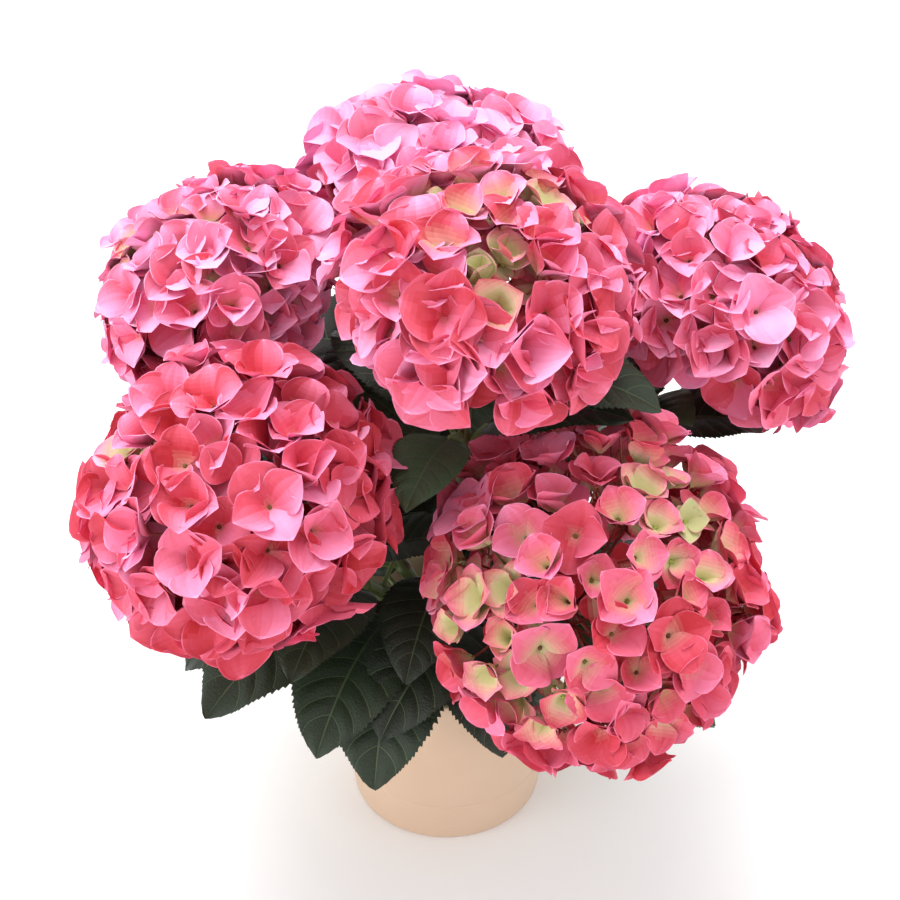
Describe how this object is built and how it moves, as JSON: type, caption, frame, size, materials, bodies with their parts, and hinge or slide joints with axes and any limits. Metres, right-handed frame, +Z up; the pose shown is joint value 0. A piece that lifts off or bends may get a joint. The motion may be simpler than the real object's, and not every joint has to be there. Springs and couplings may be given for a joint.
{
  "type": "potted hydrangea shrub",
  "caption": "Mophead hydrangea in a plain tapered pot: leafy stems rise from a short woody foot and end in large domed pink blooms.",
  "frame": {"origin": "centre of the pot's flat underside, on the surface that the pot stands on", "axes": "+Z up out of the pot, -Y towards the front, where the two lowest blooms hang over the rim, +X to the right of that view"},
  "size_m": [0.4318, 0.4079, 0.4584],
  "materials": {
    "pot": "satin",
    "soil": "matte",
    "bark": "matte",
    "cane": "matte",
    "leaf": "matte",
    "bloom": "matte"
  },
  "bodies": {
    "root": {"pot": "pot", "potting_soil": "soil", "woody_stump": "bark", "cane_front_left": "cane", "leaves_front_left": "leaf", "bloom_front_left": "bloom", "cane_front_right": "cane", "leaves_front_right": "leaf", "bloom_front_right": "bloom", "cane_centre": "cane", "leaves_centre": "leaf", "bloom_centre": "bloom", "cane_back": "cane", "leaves_back": "leaf", "bloom_back": "bloom", "cane_left": "cane", "leaves_left": "leaf", "bloom_left": "bloom", "cane_right": "cane", "leaves_right": "leaf", "bloom_right": "bloom"}
  },
  "joints": []
}
